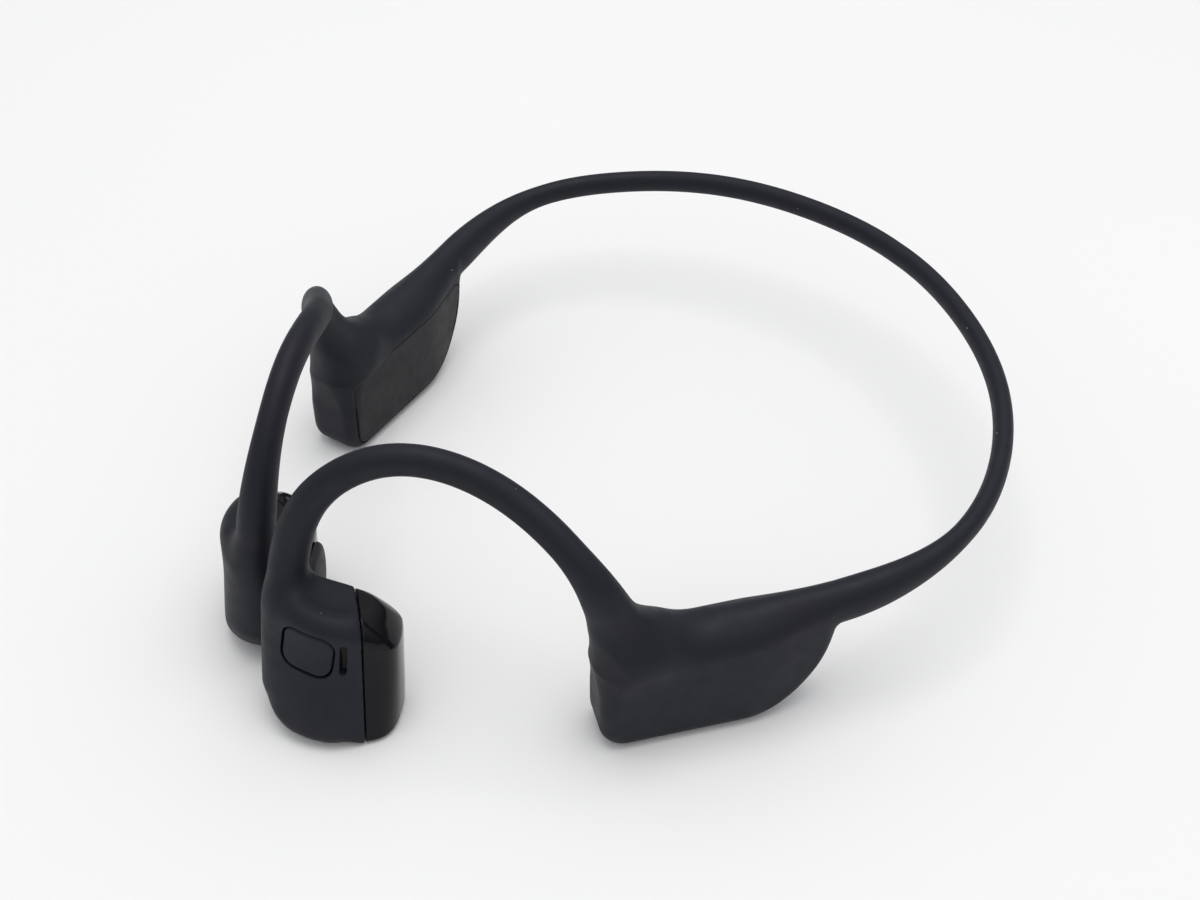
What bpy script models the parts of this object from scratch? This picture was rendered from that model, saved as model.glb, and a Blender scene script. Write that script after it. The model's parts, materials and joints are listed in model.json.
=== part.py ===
"""Bone conduction headphones: a sprung neckband, two ear modules, two ear hooks and two transducer pods.

Metres, +Z up. The wearer faces -Y, +X is the wearer's left, and the table is z = 0.
The left side is modelled, and the right side is its mirror image about x = 0.
"""

import math

import bmesh
import bpy
import numpy as np
from mathutils import Matrix, Vector

GAP = 0.0003  # between two fixed neighbours
CENTRE_SHIFT = 0.00095  # +Y move of the finished headset, which puts the origin under its middle
SIDES = {"left": 1.0, "right": -1.0}

# Neckband: centre line from the left module's rear end to the middle of the back.
BAND_LINE = [
    (0.0470, 0.0046, 0.0164),
    (0.0496, 0.0204, 0.0190),
    (0.0438, 0.0352, 0.0202),
    (0.0322, 0.0470, 0.0213),
    (0.0168, 0.0545, 0.0219),
    (0.0, 0.0573, 0.0220),
]
BAND_HEIGHT, BAND_END_HEIGHT = 0.0036, 0.0062
BAND_THICKNESS, BAND_END_THICKNESS = 0.0029, 0.0050
BAND_RINGS, BAND_SIDES = 46, 10
BAND_FLARE = 0.76  # the ends start to thicken this far out from the middle, as a share of half the length

# Ear hook: centre line from the module up over the ear and down to the pod.
HOOK_LINE = [
    (0.0355, -0.0243, 0.0208),
    (0.0347, -0.0266, 0.0268),
    (0.0237, -0.0316, 0.0368),
    (0.0117, -0.0425, 0.0405),
    (0.0063, -0.0495, 0.0347),
    (0.0040, -0.0538, 0.0223),
]
HOOK_ROOT_WIDTH, HOOK_WIDTH, HOOK_TIP_WIDTH = 0.0074, 0.0044, 0.0054
HOOK_THICKNESS, HOOK_ROOT_THICKNESS = 0.0037, 0.0056
HOOK_RINGS, HOOK_SIDES = 24, 10

WIRE_RADIUS = 0.00035
CABLE_RADIUS = 0.00045
CORE_OFFSET = 0.00055  # wire and cable lie this far either side of the centre line
BORE_ACROSS, BORE_ALONG = 0.0014, 0.0026

# Ear module: local x is outward, local y runs to the rear, from the front edge's foot.
MODULE_PLACE = (0.0353, -0.0248)
MODULE_TOE = math.radians(-21.6)
MODULE_THICKNESS = 0.0090
MODULE_ROUND = 0.0034
MODULE_TOP = 0.0184
MODULE_REAR = 0.0304
MODULE_FRONT = -0.0030
MODULE_FOOT_CORNER = 0.0036
MODULE_NECK, MODULE_SLIMMING = 0.018, 0.40  # from this local y to the rear, it slims by this share
MODULE_SPINE = (0.0035, 0.0225, 0.0098)  # the casing's long middle line: local y of its ends, and its height
ROOT_TOP = 0.0204
MODULE_WALL = 0.0012
MODULE_SPLIT = -0.0018  # local x of the joint between shell and cover
ARM_HINGE_Y = 0.0311
SEAL_LENGTH, SEAL_HEIGHT, SEAL_CORNER, SEAL_WIDTH = 0.0222, 0.0122, 0.0036, 0.0008
SEAL_CENTRE = (0.0114, 0.0090)

# Transducer pod: local x is across, local y runs from the outer face to the contact pad.
POD_PLACE = (0.0100, -0.0525, 0.0009)
POD_TOE = math.radians(41.5)
POD_LEAN = (math.radians(-7.0), math.radians(4.0))
POD_HEIGHT = 0.0198
POD_FRONT, POD_BACK = -0.0060, 0.0056  # local y of the outer face and of the face that holds the pad
POD_CORNERS = [  # local x, local y and corner radius, round the plan from the spine under the hook
    (-0.0093, -0.0032, 0.0026),
    (-0.0062, POD_FRONT, 0.0030),
    (0.0044, POD_FRONT, 0.0020),
    (0.0096, -0.0024, 0.0020),
    (0.0088, POD_BACK, 0.0026),
    (-0.0062, POD_BACK, 0.0030),
    (-0.0094, 0.0024, 0.0024),
]
POD_RISE = 0.13  # how much the top climbs towards the hook's side
POD_FALL, POD_FALL_X = 0.0026, 0.0040  # how far the top falls at the other end, and where it starts to
POD_TAPER, POD_TAPER_Z = 0.0030, 0.0115  # how far the back comes in at the top, and where it starts to
POD_WALL = 0.0011
POD_ARC_STEPS = 3
POD_SPLIT_X = 0.0055  # local x of the joint between shell and housing
DRIVER_HEIGHT = 0.0078
YOKE_RADIUS = 0.0050
PAD_X, PAD_Z, PAD_WIDTH, PAD_HEIGHT, PAD_CORNER = -0.0002, 0.0080, 0.0086, 0.0096, 0.0034

BUTTON_WIDTH, BUTTON_HEIGHT, BUTTON_CORNER = 0.0072, 0.0062, 0.0018
BUTTON_X, BUTTON_Z = -0.0021, 0.0132
BUTTON_CLEARANCE = 0.00035
MIC_X, MIC_Z, MIC_WIDTH, MIC_HEIGHT = 0.0028, 0.0132, 0.0010, 0.0048

VOLUME_Y = {"volume_up": 0.0098, "volume_down": 0.0158}
VOLUME_LENGTH, VOLUME_WIDTH = 0.0042, 0.0018
LIGHT_Y, LIGHT_RADIUS = 0.0060, 0.0006
CHARGE_Y, CHARGE_Z, CHARGE_LENGTH, CHARGE_HEIGHT = 0.0196, 0.0098, 0.0076, 0.0032
CHARGE_BASE, CHARGE_FACE = 0.0030, 0.0036  # local x of the contact block's two faces
PIN_RADIUS, PIN_SPACING = 0.0006, 0.0040


# --- scene and materials ---------------------------------------------------------------------


def clear_scene():
    for item in list(bpy.data.objects):
        bpy.data.objects.remove(item)


def make_material(name, colour, roughness, metallic=0.0):
    made = bpy.data.materials.new(name)
    made.use_nodes = True
    shader = made.node_tree.nodes["Principled BSDF"]
    shader.inputs["Base Color"].default_value = (*colour, 1.0)
    shader.inputs["Roughness"].default_value = roughness
    shader.inputs["Metallic"].default_value = metallic
    made.diffuse_color = (*colour, 1.0)
    return made


def make_materials():
    return {
        "silicone": make_material("silicone", (0.016, 0.018, 0.024), 0.62),
        "cover": make_material("cover", (0.020, 0.021, 0.024), 0.55),
        "gloss": make_material("gloss", (0.008, 0.008, 0.010), 0.08),
        "pad": make_material("pad", (0.030, 0.032, 0.036), 0.60),
        "seal": make_material("seal", (0.050, 0.050, 0.055), 0.70),
        "titanium": make_material("titanium", (0.42, 0.41, 0.40), 0.32, 1.0),
        "steel": make_material("steel", (0.55, 0.56, 0.58), 0.28, 1.0),
        "magnet": make_material("magnet", (0.62, 0.61, 0.58), 0.25, 1.0),
        "copper": make_material("copper", (0.72, 0.38, 0.20), 0.35, 1.0),
        "gold": make_material("gold", (0.83, 0.62, 0.28), 0.25, 1.0),
        "board": make_material("board", (0.02, 0.10, 0.05), 0.50),
        "battery": make_material("battery", (0.62, 0.64, 0.66), 0.40, 0.6),
        "cable": make_material("cable", (0.35, 0.05, 0.04), 0.50),
        "mesh": make_material("mesh", (0.10, 0.10, 0.11), 0.45, 0.8),
        "lens": make_material("lens", (0.75, 0.76, 0.78), 0.20),
    }


def make_empty(name, place, turn=(0.0, 0.0, 0.0), parent=None):
    made = bpy.data.objects.new(name, None)
    made.location = place
    made.rotation_euler = turn
    made.parent = parent
    bpy.context.scene.collection.objects.link(made)
    return made


def world_place(item):
    """Where a chain of unturned empties puts its last one."""
    place = Vector()
    while item:
        place += item.location
        item = item.parent
    return place


def make_object(name, shape, material, parent, side=1.0):
    """An object from a bmesh in its parent's frame. The right side's shape is mirrored in local x."""
    if side < 0:
        bmesh.ops.scale(shape, vec=(-1.0, 1.0, 1.0), verts=shape.verts)
    bmesh.ops.recalc_face_normals(shape, faces=shape.faces)
    mesh = bpy.data.meshes.new(name)
    shape.to_mesh(mesh)
    shape.free()
    mesh.shade_smooth()
    mesh.set_sharp_from_angle(angle=math.radians(40))
    made = bpy.data.objects.new(name, mesh)
    made.parent = parent
    bpy.context.scene.collection.objects.link(made)
    if material:
        made.data.materials.append(material)
    else:
        made.hide_render = True
        made.display_type = "WIRE"
    return made


def cut(target, *cutters):
    for cutter in cutters:
        step = target.modifiers.new(cutter.name, "BOOLEAN")
        step.object = cutter
        step.operation = "DIFFERENCE"
        step.solver = "EXACT"


# --- shapes ----------------------------------------------------------------------------------


def smooth_line(points, count):
    """Points spaced evenly in parameter along the natural cubic spline through the given points."""
    knots = np.array(points)
    steps = np.linalg.norm(np.diff(knots, axis=0), axis=1)
    at = np.concatenate([[0.0], np.cumsum(steps)])
    size = len(knots)
    system = np.eye(size)
    bend = np.zeros_like(knots)
    for i in range(1, size - 1):
        system[i, i - 1 : i + 2] = steps[i - 1], 2 * (steps[i - 1] + steps[i]), steps[i]
        rise = (knots[i + 1] - knots[i]) / steps[i] - (knots[i] - knots[i - 1]) / steps[i - 1]
        bend[i] = 6 * rise
    curve = np.linalg.solve(system, bend)
    line = []
    for t in np.linspace(0.0, at[-1], count):
        i = min(int(np.searchsorted(at, t, side="right")) - 1, size - 2)
        h, a, b = steps[i], at[i + 1] - t, t - at[i]
        cubic = (curve[i] * a**3 + curve[i + 1] * b**3) / (6 * h)
        start, end = knots[i] / h - curve[i] * h / 6, knots[i + 1] / h - curve[i + 1] * h / 6
        line.append(Vector(cubic + start * a + end * b))
    return line


def line_frames(line, reference):
    """(centre, across, along the reference) at each point: the tangent is square to both directions."""
    frames = []
    for i, centre in enumerate(line):
        tangent = (line[min(i + 1, len(line) - 1)] - line[max(i - 1, 0)]).normalized()
        across = tangent.cross(reference).normalized()
        frames.append((centre, across, across.cross(tangent).normalized()))
    return frames


def ellipse_rings(frames, across_size, other_size, count, offset=0.0):
    """One ellipse at each frame. The sizes are full widths, each a function of 0..1 along the line."""
    rings = []
    for i, (centre, across, other) in enumerate(frames):
        t = i / (len(frames) - 1)
        ring = []
        for k in range(count):
            angle = 2 * math.pi * k / count
            ring.append(
                centre
                + other * offset
                + across * (across_size(t) / 2 * math.cos(angle))
                + other * (other_size(t) / 2 * math.sin(angle))
            )
        rings.append(ring)
    return rings


def join_rings(shape, rings, closed=False):
    """Adds each ring's points, with a band of quads between each ring and the next."""
    made = [[shape.verts.new(point) for point in ring] for ring in rings]
    pairs = list(zip(made, made[1:]))
    if closed:
        pairs.append((made[-1], made[0]))
    for first, second in pairs:
        count = len(first)
        for k in range(count):
            shape.faces.new((first[k], first[(k + 1) % count], second[(k + 1) % count], second[k]))
    return made


def loft(rings):
    """A solid through the rings, closed by a flat face at each end."""
    shape = bmesh.new()
    made = join_rings(shape, rings)
    shape.faces.new(made[0])
    shape.faces.new(made[-1])
    return shape


def tube(outer, inner):
    """A hollow tube, open at both ends."""
    shape = bmesh.new()
    join_rings(shape, outer + inner[::-1], closed=True)
    return shape


def rounded_outline(width, height, corner, corner_points=4, centre=(0.0, 0.0)):
    """A rounded rectangle as a loop of (u, v)."""
    loop = []
    for quarter in range(4):
        sign_u = 1 if quarter in (0, 3) else -1
        sign_v = 1 if quarter < 2 else -1
        middle = (sign_u * (width / 2 - corner), sign_v * (height / 2 - corner))
        for k in range(corner_points + 1):
            angle = math.pi / 2 * (quarter + k / corner_points)
            u = centre[0] + middle[0] + corner * math.cos(angle)
            v = centre[1] + middle[1] + corner * math.sin(angle)
            loop.append((u, v))
    return loop


def prism(loop, low, high, axis):
    """A loop of (u, v) swept along the axis: x keeps (y, z), y keeps (x, z), z keeps (x, y)."""
    rings = []
    for w in (low, high):
        if axis == "x":
            rings.append([Vector((w, u, v)) for u, v in loop])
        elif axis == "y":
            rings.append([Vector((u, w, v)) for u, v in loop])
        else:
            rings.append([Vector((u, v, w)) for u, v in loop])
    return loft(rings)


def round_loop(radius, count=16, centre=(0.0, 0.0)):
    turns = (2 * math.pi * k / count for k in range(count))
    return [(centre[0] + radius * math.cos(a), centre[1] + radius * math.sin(a)) for a in turns]


def block(low, high):
    corners = [(low[0], low[1]), (high[0], low[1]), (high[0], high[1]), (low[0], high[1])]
    return prism(corners, low[2], high[2], "z")


def ease(t, start, end):
    """0 before start, 1 after end, smooth between."""
    t = min(max((t - start) / (end - start), 0.0), 1.0)
    return t * t * (3 - 2 * t)


def mirrored(points):
    return [(-x, y, z) for x, y, z in points]


# --- neckband --------------------------------------------------------------------------------


def band_height(t):
    return BAND_HEIGHT + (BAND_END_HEIGHT - BAND_HEIGHT) * ease(abs(2 * t - 1), BAND_FLARE, 1.0)


def band_thickness(t):
    return BAND_THICKNESS + (BAND_END_THICKNESS - BAND_THICKNESS) * ease(abs(2 * t - 1), BAND_FLARE, 1.0)


def build_core(name, frames, materials, parent, side=1.0):
    """The sprung wire and the cable that run side by side in a sleeve's bore."""
    for kind, radius, offset, finish in (
        ("wire", WIRE_RADIUS, CORE_OFFSET, "titanium"),
        ("cable", CABLE_RADIUS, -CORE_OFFSET, "cable"),
    ):
        rings = ellipse_rings(frames, lambda t: 2 * radius, lambda t: 2 * radius, 6, offset)
        make_object(f"{name}_{kind}", loft(rings), materials[finish], parent, side)


def build_sleeve(name, frames, across_size, other_size, count, materials, parent, side=1.0):
    """The hollow silicone sleeve along a line, with an oval bore."""
    outer = ellipse_rings(frames, across_size, other_size, count)
    inner = ellipse_rings(frames, lambda t: BORE_ACROSS, lambda t: BORE_ALONG, count)
    make_object(name, tube(outer, inner), materials["silicone"], parent, side)


def build_neckband(materials):
    knots = BAND_LINE + mirrored(BAND_LINE[:-1])[::-1]
    frames = line_frames(smooth_line(knots, BAND_RINGS), Vector((0, 0, 1)))
    centre = make_empty("neckband", (0.0, 0.0, 0.0))
    build_sleeve("neckband_sleeve", frames, band_thickness, band_height, BAND_SIDES, materials, centre)
    build_core("neckband", frames, materials, centre)


# --- ear modules -----------------------------------------------------------------------------


def module_outline():
    """The casing's side view as a loop of (y, z): foot, underside, rear curve, rear end, top, hook root."""
    corner = MODULE_FOOT_CORNER
    loop = []
    for k in range(6):
        angle = math.pi + math.pi / 2 * k / 5
        loop.append((MODULE_FRONT + corner * (1 + math.cos(angle)), corner * (1 + math.sin(angle))))
    loop.append((3 * MODULE_FOOT_CORNER - 0.0018, 0.0))
    rear = [(0.0175, 0.0), (0.0245, 0.0002), (0.0284, 0.0060), (MODULE_REAR - 0.0004, 0.0122)]
    for k in range(9):
        t = k / 8
        weights = ((1 - t) ** 3, 3 * t * (1 - t) ** 2, 3 * t * t * (1 - t), t**3)
        loop.append(tuple(sum(w * p[i] for w, p in zip(weights, rear)) for i in (0, 1)))
    loop += [(MODULE_REAR, 0.0138), (MODULE_REAR, 0.0172), (MODULE_REAR - 0.0004, 0.0185)]
    loop += [(0.0240, MODULE_TOP + 0.0001), (0.0170, MODULE_TOP), (0.0105, MODULE_TOP - 0.0003)]
    loop += [(0.0066, MODULE_TOP - 0.0004), (0.0046, ROOT_TOP), (-0.0035, ROOT_TOP)]
    loop += [(MODULE_FRONT, 0.0165), (MODULE_FRONT, 0.0100)]
    return loop


def inset(loop, distance):
    """Each point moved in towards the casing's long middle line."""
    low, high, level = MODULE_SPINE
    moved = []
    for y, z in loop:
        near = Vector((min(max(y, low), high), level))
        away = Vector((y, z)) - near
        moved.append(near + away * (1 - distance / away.length))
    return moved


def module_body(shrink=0.0, steps=4):
    """The casing as a solid: the outline rounded over to both faces, and slimmer towards the neckband."""
    half = MODULE_THICKNESS / 2 - shrink
    rounding = MODULE_ROUND - shrink * 0.6
    levels = []
    for k in range(steps + 1):
        angle = math.pi / 2 * (1 - k / steps)
        x = half - rounding + rounding * math.sin(angle)
        levels.append((x, shrink + rounding * (1 - math.cos(angle))))
    levels = levels + [(-x, d) for x, d in levels[::-1]]
    outline = module_outline()
    rings = []
    for x, distance in levels:
        ring = inset(outline, distance)
        slim = [1 - MODULE_SLIMMING * ease(y, MODULE_NECK, MODULE_REAR) for y, _ in ring]
        rings.append([Vector((x * share, y, z)) for share, (y, z) in zip(slim, ring)])
    return loft(rings)


def build_module(side_name, side, pivot, materials):
    """The casing: an outer shell and an inner cover, hollow, with a seal between them."""
    place = Vector((MODULE_PLACE[0] * side, MODULE_PLACE[1], 0.0)) - world_place(pivot)
    frame = make_empty(f"{side_name}_module", place, (0, 0, MODULE_TOE * side), pivot)

    def helper(name, shape):
        return make_object(f"{side_name}_{name}", shape, None, frame, side)

    cavity = helper("cavity", module_body(MODULE_WALL, 2))
    inner_half = helper("inner_half", block((-0.02, -0.01, -0.01), (MODULE_SPLIT, 0.04, 0.04)))
    outer_half = helper("outer_half", block((MODULE_SPLIT - GAP, -0.01, -0.01), (0.02, 0.04, 0.04)))
    passages = [
        helper("hook_passage", block((-0.0011, -0.0003, 0.0135), (0.0011, 0.0029, 0.0300))),
        helper("band_passage", block((-0.0011, 0.0250, 0.0149), (0.0011, 0.0400, 0.0179))),
    ]
    shell = make_object(f"{side_name}_module_shell", module_body(), materials["silicone"], frame, side)
    cut(shell, cavity, inner_half, *passages)
    cover = make_object(f"{side_name}_module_cover", module_body(), materials["cover"], frame, side)
    cut(cover, cavity, outer_half)
    build_seal(side_name, side, frame, materials)
    return frame, shell, helper


def build_seal(side_name, side, frame, materials):
    """A thin rubber ring just inside the joint between shell and cover."""
    low, high = MODULE_SPLIT - 0.0006, MODULE_SPLIT + 0.0008
    rings = []
    for x, shrink in ((low, 0.0), (high, 0.0), (high, SEAL_WIDTH), (low, SEAL_WIDTH)):
        size = (SEAL_LENGTH - 2 * shrink, SEAL_HEIGHT - 2 * shrink, SEAL_CORNER - shrink)
        rings.append([Vector((x, y, z)) for y, z in rounded_outline(*size, 4, SEAL_CENTRE)])
    shape = bmesh.new()
    join_rings(shape, rings, closed=True)
    make_object(f"{side_name}_cover_seal", shape, materials["seal"], frame, side)


def build_left_module(pivot, materials):
    frame, _, _ = build_module("left", 1.0, pivot, materials)
    cell = rounded_outline(0.0170, 0.0104, 0.0010, 2, (0.0115, 0.0092))
    make_object("battery", prism(cell, -0.0008, 0.0026, "x"), materials["battery"], frame)
    guard = rounded_outline(0.0010, 0.0080, 0.0003, 1, (0.0212, 0.0098))
    make_object("battery_guard_board", prism(guard, -0.0005, 0.0020, "x"), materials["board"], frame)


def build_right_module(pivot, materials):
    frame, shell, helper = build_module("right", -1.0, pivot, materials)
    board = rounded_outline(0.0190, 0.0088, 0.0010, 2, (0.0125, 0.0096))
    make_object("control_board", prism(board, 0.0012, 0.0020, "x"), materials["board"], frame, -1.0)
    can = rounded_outline(0.0064, 0.0060, 0.0004, 1, (0.0122, 0.0100))
    make_object("radio_can", prism(can, 0.0023, 0.0030, "x"), materials["steel"], frame, -1.0)
    for name, y in VOLUME_Y.items():
        length, width = VOLUME_LENGTH + 2 * BUTTON_CLEARANCE, VOLUME_WIDTH + 2 * BUTTON_CLEARANCE
        opening = prism(rounded_outline(length, width, VOLUME_WIDTH / 2, 3), -0.001, 0.0040, "z")
        cut(shell, helper(f"{name}_slot", turned_slot(opening, y)))
        build_volume_button(name, y, frame, materials)
    hole = prism(round_loop(LIGHT_RADIUS + GAP, 10, (0, LIGHT_Y)), -0.001, 0.004, "z")
    cut(shell, helper("light_hole", hole))
    light = prism(round_loop(LIGHT_RADIUS, 10, (0, LIGHT_Y)), 0.0002, 0.0042, "z")
    make_object("status_light_pipe", light, materials["lens"], frame, -1.0)
    build_charge_contacts(frame, shell, helper, materials)


def turned_slot(shape, y):
    """A shape drawn lengthwise along x, turned to lie along y at the given place."""
    bmesh.ops.rotate(shape, matrix=Matrix.Rotation(math.pi / 2, 3, "Z"), verts=shape.verts)
    bmesh.ops.translate(shape, vec=(0, y, 0), verts=shape.verts)
    return shape


def build_volume_button(name, y, frame, materials):
    """An oblong key flush with the underside, on its own slide, and the dome switch above it."""
    loop = rounded_outline(VOLUME_LENGTH, VOLUME_WIDTH, VOLUME_WIDTH / 2 - 0.00005, 3)
    slide = make_empty(f"{name}_slide", (0, y, 0), (0, 0, math.pi / 2), frame)
    make_object(f"{name}_button", prism(loop, 0.0002, 0.0022, "z"), materials["cover"], slide, -1.0)
    switch = block((-0.0009, y - 0.0014, 0.0030), (0.0009, y + 0.0014, 0.0044))
    make_object(f"{name}_switch", switch, materials["steel"], frame, -1.0)


def build_charge_contacts(frame, shell, helper, materials):
    """Two gilt pins in an insulating block, let into the shell's outer face."""
    centre = (CHARGE_Y, CHARGE_Z)
    corner = CHARGE_HEIGHT / 2 - 0.0001
    pill = rounded_outline(CHARGE_LENGTH, CHARGE_HEIGHT, corner, 4, centre)
    wide = rounded_outline(CHARGE_LENGTH + 2 * GAP, CHARGE_HEIGHT + 2 * GAP, corner + GAP, 4, centre)
    cut(shell, helper("charge_recess", prism(wide, CHARGE_BASE - 0.0010, 0.02, "x")))
    block_shape = prism(pill, CHARGE_BASE, CHARGE_FACE, "x")
    base = make_object("charge_contact_block", block_shape, materials["cover"], frame, -1.0)
    for sign, name in ((1, "charge_pin_positive"), (-1, "charge_pin_negative")):
        place = (CHARGE_Y + sign * PIN_SPACING / 2, CHARGE_Z)
        hole = prism(round_loop(PIN_RADIUS + 0.0002, 10, place), 0.0, 0.02, "x")
        cut(base, helper(f"{name}_hole", hole))
        pin = prism(round_loop(PIN_RADIUS, 10, place), CHARGE_BASE - 0.0003, CHARGE_FACE, "x")
        make_object(name, pin, materials["gold"], frame, -1.0)


# --- ear hooks -------------------------------------------------------------------------------


def hook_across(t):
    root = (HOOK_ROOT_WIDTH - HOOK_WIDTH) * (1 - ease(t, 0.0, 0.24))
    return HOOK_WIDTH + root + (HOOK_TIP_WIDTH - HOOK_WIDTH) * ease(t, 0.72, 1.0)


def hook_other(t):
    root = (HOOK_ROOT_THICKNESS - HOOK_THICKNESS) * (1 - ease(t, 0.0, 0.24))
    return HOOK_THICKNESS + root + (HOOK_TIP_WIDTH - HOOK_THICKNESS) * ease(t, 0.72, 1.0)


def build_hook(side_name, side, pivot, materials):
    start, end = Vector(HOOK_LINE[0]), Vector(HOOK_LINE[-1])
    plane = (end - start).cross(Vector((0, 0, 1))).normalized()
    line = [point - start for point in smooth_line(HOOK_LINE, HOOK_RINGS)]
    frames = line_frames(line, plane)
    for index in (0, -1):  # both ends are cut level
        centre, across, _ = frames[index]
        frames[index] = (centre, Vector((across.x, across.y, 0.0)).normalized(), plane)
    name = f"{side_name}_hook_sleeve"
    build_sleeve(name, frames, hook_across, hook_other, HOOK_SIDES, materials, pivot, side)
    build_core(f"{side_name}_hook", frames, materials, pivot, side)


# --- transducer pods -------------------------------------------------------------------------


def pod_outline(shrink):
    """The pod's plan as a loop of (x, y), each corner an arc, shrunk inwards by an equal distance."""
    loop = []
    corners = [(Vector((x, y)), radius) for x, y, radius in POD_CORNERS]
    for i, (corner, radius) in enumerate(corners):
        before = (corners[i - 1][0] - corner).normalized()
        after = (corners[(i + 1) % len(corners)][0] - corner).normalized()
        half = before.angle(after) / 2
        centre = corner + (before + after).normalized() * (radius / math.sin(half))
        radius = max(radius - shrink, 0.0004)
        start = Vector((-before.y, before.x))
        sweep = math.pi - 2 * half
        for k in range(POD_ARC_STEPS + 1):
            turn = Matrix.Rotation(sweep * k / POD_ARC_STEPS, 2)
            loop.append(tuple(centre + turn @ start * radius))
    return loop


def pod_body(shrink=0.0, steps=4):
    """The pod as a solid: rounded in plan, rounded over below and above, taller on the hook's side."""
    foot, crown = 0.0030 - shrink, 0.0034 - shrink
    turns = [math.pi / 2 * k / steps for k in range(steps + 1)]
    below = [(shrink + foot * (1 - math.sin(a)), foot * (1 - math.cos(a))) for a in turns]
    above = [(POD_HEIGHT - shrink - crown * (1 - math.sin(a)), crown * (1 - math.cos(a))) for a in turns]
    rings = []
    for z, distance in sorted(below) + [(POD_TAPER_Z, 0.0)] + sorted(above):
        share = ease(z, POD_TAPER_Z, POD_HEIGHT)
        ring = []
        for x, y in pod_outline(shrink + distance):
            taper = POD_TAPER * share * ease(y, POD_FRONT / 2, POD_BACK / 2)
            ring.append(Vector((x, y - taper, z - share * pod_drop(x))))
        rings.append(ring)
    return loft(rings)


def pod_drop(x):
    """How far the top lies under its level at the pod's middle."""
    past = max(x - POD_FALL_X, 0.0) / (POD_CORNERS[3][0] - POD_FALL_X)
    return POD_RISE * x + POD_FALL * past * past


def build_pod(side_name, side, pivot, materials):
    place = Vector((POD_PLACE[0] * side, *POD_PLACE[1:])) - world_place(pivot)
    frame = make_empty(f"{side_name}_pod", place, (POD_LEAN[0], POD_LEAN[1] * side, POD_TOE * side), pivot)

    def helper(name, shape):
        return make_object(f"{side_name}_{name}", shape, None, frame, side)

    cavity = helper("pod_cavity", pod_body(POD_WALL, 2))
    outer_end = block((POD_SPLIT_X, -0.02, -0.01), (0.03, 0.02, 0.04))
    hook_end = block((-0.03, -0.02, -0.01), (POD_SPLIT_X + GAP, 0.02, 0.04))
    shell = make_object(f"{side_name}_pod_shell", pod_body(), materials["silicone"], frame, side)
    cut(shell, cavity, helper("pod_outer_end", outer_end))
    housing = make_object(f"{side_name}_pod_housing", pod_body(), materials["gloss"], frame, side)
    cut(housing, cavity, helper("pod_hook_end", hook_end))
    build_driver(side_name, side, frame, materials)
    build_pad(side_name, side, frame, materials)
    return frame, shell, helper


def disc(radius, low, high, count=20):
    """A disc on the driver's axis."""
    return prism(round_loop(radius, count, (0.0, DRIVER_HEIGHT)), low, high, "y")


def ring(outer_radius, inner_radius, low, high, count=20):
    """A flat ring about the driver's axis."""
    shape = bmesh.new()
    loops = []
    section = ((outer_radius, low), (outer_radius, high), (inner_radius, high), (inner_radius, low))
    for radius, y in section:
        loop = round_loop(radius, count, (0.0, DRIVER_HEIGHT))
        loops.append([Vector((u, y, v)) for u, v in loop])
    join_rings(shape, loops, closed=True)
    return shape


def build_driver(side_name, side, frame, materials):
    """The vibrating driver, from the outer side to the skin: yoke cup, magnet, voice coil, spring plate."""

    def add(name, shape, material):
        return make_object(f"{side_name}_{name}", shape, material, frame, side)

    yoke = add("driver_yoke", disc(YOKE_RADIUS, -0.0014, 0.0024), materials["steel"])
    cut(yoke, add("yoke_well", disc(YOKE_RADIUS - 0.0006, -0.0006, 0.0100), None))
    add("driver_magnet", disc(0.0033, -0.0003, 0.0027), materials["magnet"])
    add("voice_coil", ring(0.0043, 0.0037, 0.0003, 0.0034), materials["copper"])
    add("spring_plate", ring(0.0044, 0.0018, 0.0038, 0.0042), materials["steel"])


def build_pad(side_name, side, frame, materials):
    """The soft contact pad, slightly crowned, on the shell's face towards the skin."""
    face = POD_BACK + GAP
    rings = []
    for rise, shrink in ((0.0, 0.0), (0.0005, 0.0), (0.0009, 0.0008), (0.0011, 0.0026)):
        size = (PAD_WIDTH - 2 * shrink, PAD_HEIGHT - 2 * shrink, PAD_CORNER - shrink)
        loop = rounded_outline(*size, 4, (PAD_X, PAD_Z))
        rings.append([Vector((u, face + rise, v)) for u, v in loop])
    make_object(f"{side_name}_contact_pad", loft(rings), materials["pad"], frame, side)


def build_button(frame, shell, helper, materials):
    """The rounded-square key in the left pod's outer face, with its switch and board."""
    centre = (BUTTON_X, BUTTON_Z)
    width, height = BUTTON_WIDTH + 2 * BUTTON_CLEARANCE, BUTTON_HEIGHT + 2 * BUTTON_CLEARANCE
    opening = rounded_outline(width, height, BUTTON_CORNER + BUTTON_CLEARANCE, 4, centre)
    cut(shell, helper("button_opening", prism(opening, -0.02, -0.0040, "y")))
    slide = make_empty("multifunction_slide", (BUTTON_X, POD_FRONT, BUTTON_Z), (0, 0, 0), frame)
    key = rounded_outline(BUTTON_WIDTH, BUTTON_HEIGHT, BUTTON_CORNER)
    make_object("multifunction_button", prism(key, -0.0001, 0.0012, "y"), materials["silicone"], slide)
    switch = (0.0036, 0.0036, 0.0004, 1, centre)
    add_layer("multifunction_switch", switch, (0.0017, 0.0029), "steel", frame, materials)
    board = (0.0096, 0.0070, 0.0010, 2, (BUTTON_X + 0.0020, BUTTON_Z - 0.0012))
    add_layer("button_board", board, (0.0032, 0.0039), "board", frame, materials)


def add_layer(name, outline, depths, material, frame, materials):
    """A flat rounded piece behind the pod's outer face, between two depths."""
    shape = prism(rounded_outline(*outline), POD_FRONT + depths[0], POD_FRONT + depths[1], "y")
    make_object(name, shape, materials[material], frame)


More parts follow.
